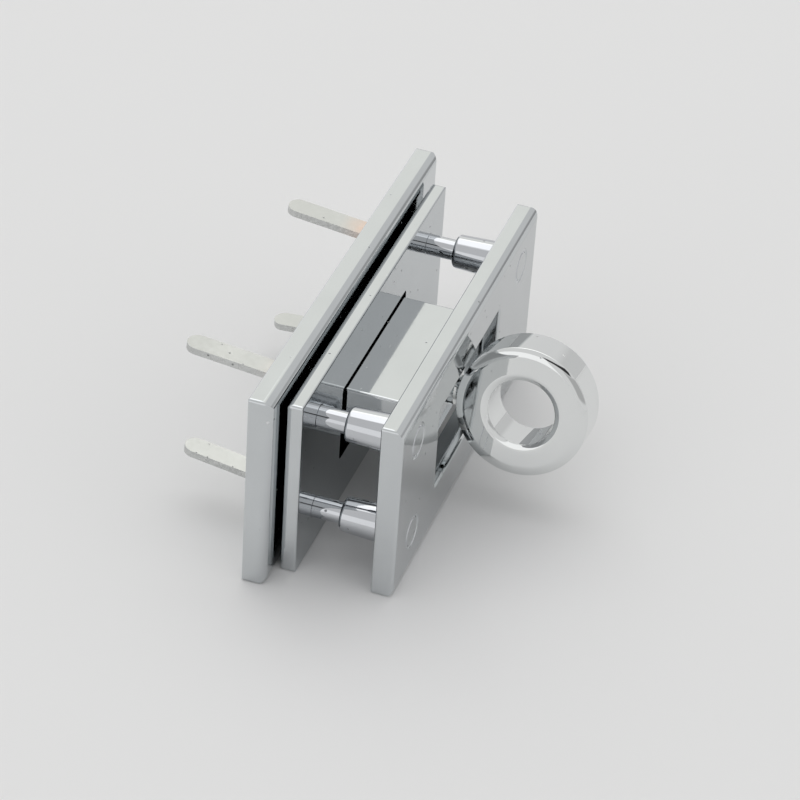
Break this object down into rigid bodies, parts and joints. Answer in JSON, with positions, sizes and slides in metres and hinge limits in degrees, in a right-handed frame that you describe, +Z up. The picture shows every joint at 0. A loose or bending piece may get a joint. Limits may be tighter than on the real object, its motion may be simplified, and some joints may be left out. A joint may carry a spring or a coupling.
{
  "type": "handbag turn lock",
  "caption": "Turn lock for a bag: a ring knob on a pedestal passes through slotted flap plates and turns across them; flat prongs fix its base plate.",
  "frame": {"origin": "centre of the base plate's back face, on the knob's turning axis", "axes": "+X along the plates' length, -Y out of the lock's front (towards the ring knob), +Z up; the plates stand on their long edges as in the picture"},
  "size_m": [0.0596, 0.0469, 0.0266],
  "materials": {
    "plate_chrome": "polished",
    "knob_chrome": "mirror polished",
    "pin_chrome": "polished",
    "prong_chrome": "tumbled and plated, slightly pitted",
    "plain_steel": "plated, satin",
    "spring_steel": "blued strip",
    "brass": "turned"
  },
  "bodies": {
    "base": {"base_plate": "plate_chrome", "pedestal": "plate_chrome", "back_cover": "plain_steel", "cover_screws": "plain_steel", "prong_near_top": "prong_chrome", "prong_near_bottom": "prong_chrome", "prong_far_top": "prong_chrome", "prong_far_bottom": "prong_chrome", "detent_spring_near": "spring_steel", "detent_spring_far": "spring_steel"},
    "knob": {"ring_knob": "knob_chrome", "stem": "knob_chrome", "detent_cam": "brass", "thrust_washer": "brass", "retaining_clip": "spring_steel"},
    "flap": {"front_plate": "plate_chrome", "clamp_plate": "plate_chrome", "sleeve_near_top": "pin_chrome", "sleeve_near_bottom": "pin_chrome", "sleeve_far_top": "pin_chrome", "sleeve_far_bottom": "pin_chrome", "pin_near_top": "pin_chrome", "pin_near_bottom": "pin_chrome", "pin_far_top": "pin_chrome", "pin_far_bottom": "pin_chrome"}
  },
  "joints": [
    {"name": "ring_turn", "type": "hinge", "parent": "base", "child": "knob", "pos_m": [0, 0, 0], "axis": [0, -1, 0], "continuous": true, "deforming": ["detent_spring_near", "detent_spring_far"]},
    {"name": "flap_play", "type": "slide", "parent": "base", "child": "flap", "axis": [0, -1, 0], "range_m": [-0.00028, 0.00018]}
  ]
}
